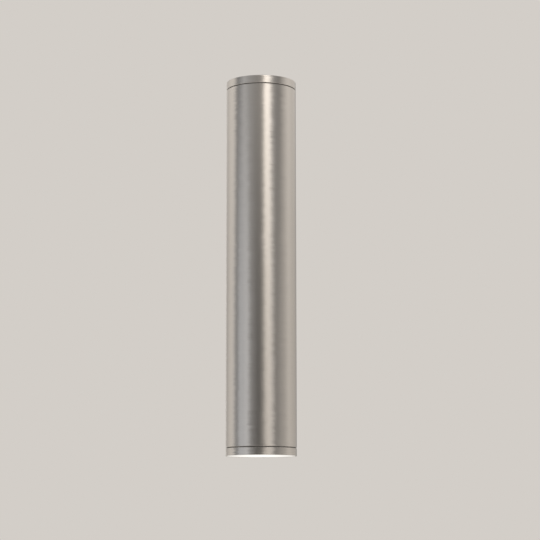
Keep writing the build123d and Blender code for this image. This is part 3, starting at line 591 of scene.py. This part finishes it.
# ---- screws that show from behind: two through the saddle, and a locking screw in each of its sides ----
sunk_low, sunk_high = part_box("saddle_screws")
sunk_length = sunk_high.y - sunk_low.y
sunk_profile = [
    (0.0, -sunk_length),
    (SCREW_ROOT - SCREW_EDGE, -sunk_length),
    (SCREW_ROOT, SCREW_EDGE - sunk_length),
    (SCREW_ROOT, SCREW_RADIUS - SUNK_RADIUS - SCREW_EDGE),
    (SCREW_RADIUS, SCREW_RADIUS - SUNK_RADIUS),
    (SUNK_RADIUS - SCREW_EDGE, -SCREW_EDGE),
    (SUNK_RADIUS - SCREW_EDGE, -SCREW_EDGE / 4),
    (SUNK_RADIUS - SCREW_EDGE * 1.25, 0.0),
]
for where, side in ENDS.items():
    place = Matrix.Translation((0, sunk_high.y, side * (sunk_high.z - SUNK_RADIUS)))
    place = place @ Matrix.Rotation(-math.pi / 2, 4, "X")
    run = (SCREW_PITCH - sunk_length, SCREW_RADIUS - SUNK_RADIUS - SCREW_PITCH)
    names = ("fitting", "saddle_screws")
    socket_screw(f"saddle_screw_{where}", place, "zinc_steel", *names, sunk_profile, SUNK_SOCKET, run)

for where, side in {"left": -1, "right": 1}.items():
    lock_low, lock_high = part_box(f"locking_screw_{where}")
    lock_length = lock_high.x - lock_low.x
    lock_profile = [
        (0.0, -lock_length),
        (DOG_RADIUS - SCREW_EDGE, -lock_length),
        (DOG_RADIUS, SCREW_EDGE - lock_length),
        (DOG_RADIUS, DOG_LENGTH - lock_length),
        (SCREW_ROOT - SCREW_EDGE, DOG_LENGTH - lock_length),
        (SCREW_ROOT, DOG_LENGTH + SCREW_EDGE - lock_length),
        (SCREW_ROOT, -SCREW_EDGE),
        (SCREW_ROOT - SCREW_EDGE, 0.0),
    ]
    place = Matrix.Translation((lock_high.x if side > 0 else lock_low.x, (lock_low.y + lock_high.y) / 2, 0))
    place = place @ Matrix.Rotation(side * math.pi / 2, 4, "Y")
    run = (DOG_LENGTH + SCREW_PITCH / 2 - lock_length, -SCREW_PITCH / 2)
    names = (f"locking_{where}", f"locking_screw_{where}")
    socket_screw(f"set_screw_{where}", place, "dark_steel", *names, lock_profile, LOCK_SOCKET, run)


# ---- studio: background, reflections, floor, lamps and camera ----
# What the metal mirrors. Each row has an azimuth in degrees, the brightness and warmth low down, and
# the brightness and warmth high up. This is no designed studio: a script solved the brightnesses from
# -150 to 150 degrees from the photograph's pixels across the tube. report.md says how, under Limits.
SURROUNDINGS = [
    (-180, 0.34, 0.6, 0.34, 0.6),
    (-172, 0.40, 0.8, 0.40, 0.8),
    (-160, 0.95, 1.0, 1.05, 1.0),
    (-150, 0.45, 1.0, 0.64, 1.0),
    (-118, 0.79, 1.1, 0.92, 1.1),
    (-102, 0.78, 0.8, 0.96, 1.1),
    (-93, 0.43, 0.0, 0.75, 0.8),
    (-84, 0.24, -0.5, 0.15, 0.5),
    (-74, 0.67, -0.7, 0.17, 0.4),
    (-58, 0.64, -0.7, 0.58, 0.4),
    (-46, 0.81, -0.4, 0.28, 0.4),
    (-34, 0.34, 0.0, 0.49, 0.5),
    (-18, 0.15, 0.3, 0.49, 0.8),
    (-6, 0.07, 0.6, 0.53, 1.0),
    (5, 0.20, 1.0, 0.59, 1.2),
    (15, 0.62, 1.3, 2.61, 1.3),
    (28, 0.89, 1.2, 2.14, 1.0),
    (37, 0.72, 0.9, 0.43, 0.5),
    (48, 0.26, 0.9, 0.36, 0.3),
    (64, 0.42, 1.0, 0.20, 0.6),
    (80, 0.50, 1.2, 0.66, 1.0),
    (100, 0.75, 1.2, 0.96, 1.0),
    (124, 0.63, 1.3, 0.79, 1.0),
    (150, 0.51, 1.2, 0.84, 1.0),
    (164, 0.30, 0.8, 0.34, 0.8),
    (180, 0.34, 0.6, 0.34, 0.6),
]


def studio_world():
    """A pale even studio, in the background's own colour where the camera looks."""
    world = bpy.data.worlds.new("studio")
    bpy.context.scene.world = world
    world.use_nodes = True
    tree = world.node_tree
    even = tree.nodes["Background"]
    even.inputs["Color"].default_value = (*STUDIO_COLOUR, 1.0)
    even.inputs["Strength"].default_value = STUDIO_STRENGTH
    plain = node(tree, "ShaderNodeBackground", {"Color": (*BACKGROUND, 1.0)})
    rays = tree.nodes.new("ShaderNodeLightPath").outputs
    seen = calc(tree, "MAXIMUM", rays["Is Camera Ray"], rays["Is Transmission Ray"])
    shown = node(tree, "ShaderNodeMixShader", {0: seen, 1: even.outputs[0], 2: plain.outputs[0]})
    tree.links.new(shown.outputs[0], tree.nodes["World Output"].inputs["Surface"])


def studio_tent():
    """A round screen with the bands of SURROUNDINGS, which only the metal's reflections show."""
    bm = bmesh.new()
    bmesh.ops.create_cone(
        bm, segments=STUDIO_SIDES, radius1=TENT_RADIUS, radius2=TENT_RADIUS, depth=TENT_HEIGHT
    )
    bmesh.ops.translate(bm, verts=bm.verts, vec=(0, AXIS_Y, TENT_HEIGHT / 2 + FLOOR_LEVEL))
    tent = as_object("tent", bm)
    for ray in ("camera", "diffuse", "transmission", "volume_scatter", "shadow"):
        setattr(tent, f"visible_{ray}", False)
    material, tree, shader, place = finish("tent", (0.5, 0.5, 0.5))
    parts = node(tree, "ShaderNodeSeparateXYZ", {0: place}).outputs
    toward = calc(tree, "SUBTRACT", AXIS_Y, parts["Y"])
    azimuth = calc(tree, "ARCTAN2", parts["X"], toward)
    turned = calc(tree, "MULTIPLY_ADD", azimuth, 1 / math.tau, 0.5)
    most = max(row[3] for row in SURROUNDINGS)
    low, high = [], []
    for angle, dim, dim_warmth, bright, bright_warmth in SURROUNDINGS:
        for stops, level, warmth in ((low, dim, dim_warmth), (high, bright, bright_warmth)):
            tint = (1.0, 1.0 - WARM_GREEN * warmth, 1.0 - WARM_BLUE * warmth)
            stops.append(((angle + 180) / 360, tuple(part * level / most for part in tint)))
    layers = [ramp(tree, turned, stops) for stops in (low, high)]
    rise = span(tree, parts["Z"], 0.0, 1.0, TENT_LOW, TENT_HIGH, "SMOOTHSTEP")
    glow = node(tree, "ShaderNodeEmission", {"Color": blend(tree, rise, *layers), "Strength": most})
    tree.links.new(glow.outputs[0], tree.nodes["Material Output"].inputs["Surface"])
    tent.data.materials.append(material)


def studio_floor():
    """A pale floor that fades into the background away from the light, and is clear from below."""
    bm = bmesh.new()
    bmesh.ops.create_circle(bm, cap_ends=True, radius=FLOOR_RADIUS, segments=STUDIO_SIDES)
    bmesh.ops.translate(bm, verts=bm.verts, vec=(0, AXIS_Y, FLOOR_LEVEL))
    floor = as_object("floor", bm)
    material, tree, shader, place = finish("floor", (0.64, 0.622, 0.592), Roughness=0.85)
    away = node(tree, "ShaderNodeVectorMath", {0: place}, operation="LENGTH").outputs["Value"]
    far = span(tree, away, 0.0, 1.0, *FLOOR_FADE, "SMOOTHSTEP")
    plain = node(tree, "ShaderNodeEmission", {"Color": (*BACKGROUND, 1.0)})
    mixed = node(tree, "ShaderNodeMixShader", {0: far, 1: shader.outputs[0], 2: plain.outputs[0]})
    under = tree.nodes.new("ShaderNodeNewGeometry").outputs["Backfacing"]
    clear = tree.nodes.new("ShaderNodeBsdfTransparent")
    one_sided = node(tree, "ShaderNodeMixShader", {0: under, 1: mixed.outputs[0], 2: clear.outputs[0]})
    tree.links.new(one_sided.outputs[0], tree.nodes["Material Output"].inputs["Surface"])
    floor.data.materials.append(material)


def soft_box(name, place, size, power, colour):
    """A square area lamp aimed at the middle of the light; brushed metal mirrors the studio instead of it."""
    data = bpy.data.lights.new(name, "AREA")
    data.size = size
    data.energy = power
    data.color = colour
    lamp = bpy.data.objects.new(name, data)
    bpy.context.scene.collection.objects.link(lamp)
    lamp.location = place
    lamp.rotation_euler = (Vector((0, AXIS_Y, 0)) - lamp.location).to_track_quat("-Z", "Y").to_euler()
    lamp.visible_glossy = False


def studio_camera():
    """The camera at the photograph's place: in front, below the middle, tilted up."""
    data = bpy.data.cameras.new("camera")
    data.sensor_width = SENSOR
    data.lens = CAMERA_LENS
    data.clip_start = 0.01
    data.clip_end = 100.0
    camera = bpy.data.objects.new("camera", data)
    bpy.context.scene.collection.objects.link(camera)
    camera.location = CAMERA_PLACE
    camera.rotation_euler = (math.radians(CAMERA_TILT), math.radians(CAMERA_ROLL), 0)
    bpy.context.scene.camera = camera


studio_world()
studio_tent()
studio_floor()
for box in SOFT_BOXES:
    soft_box(*box)
studio_camera()
bpy.context.scene.view_settings.view_transform = "Standard"
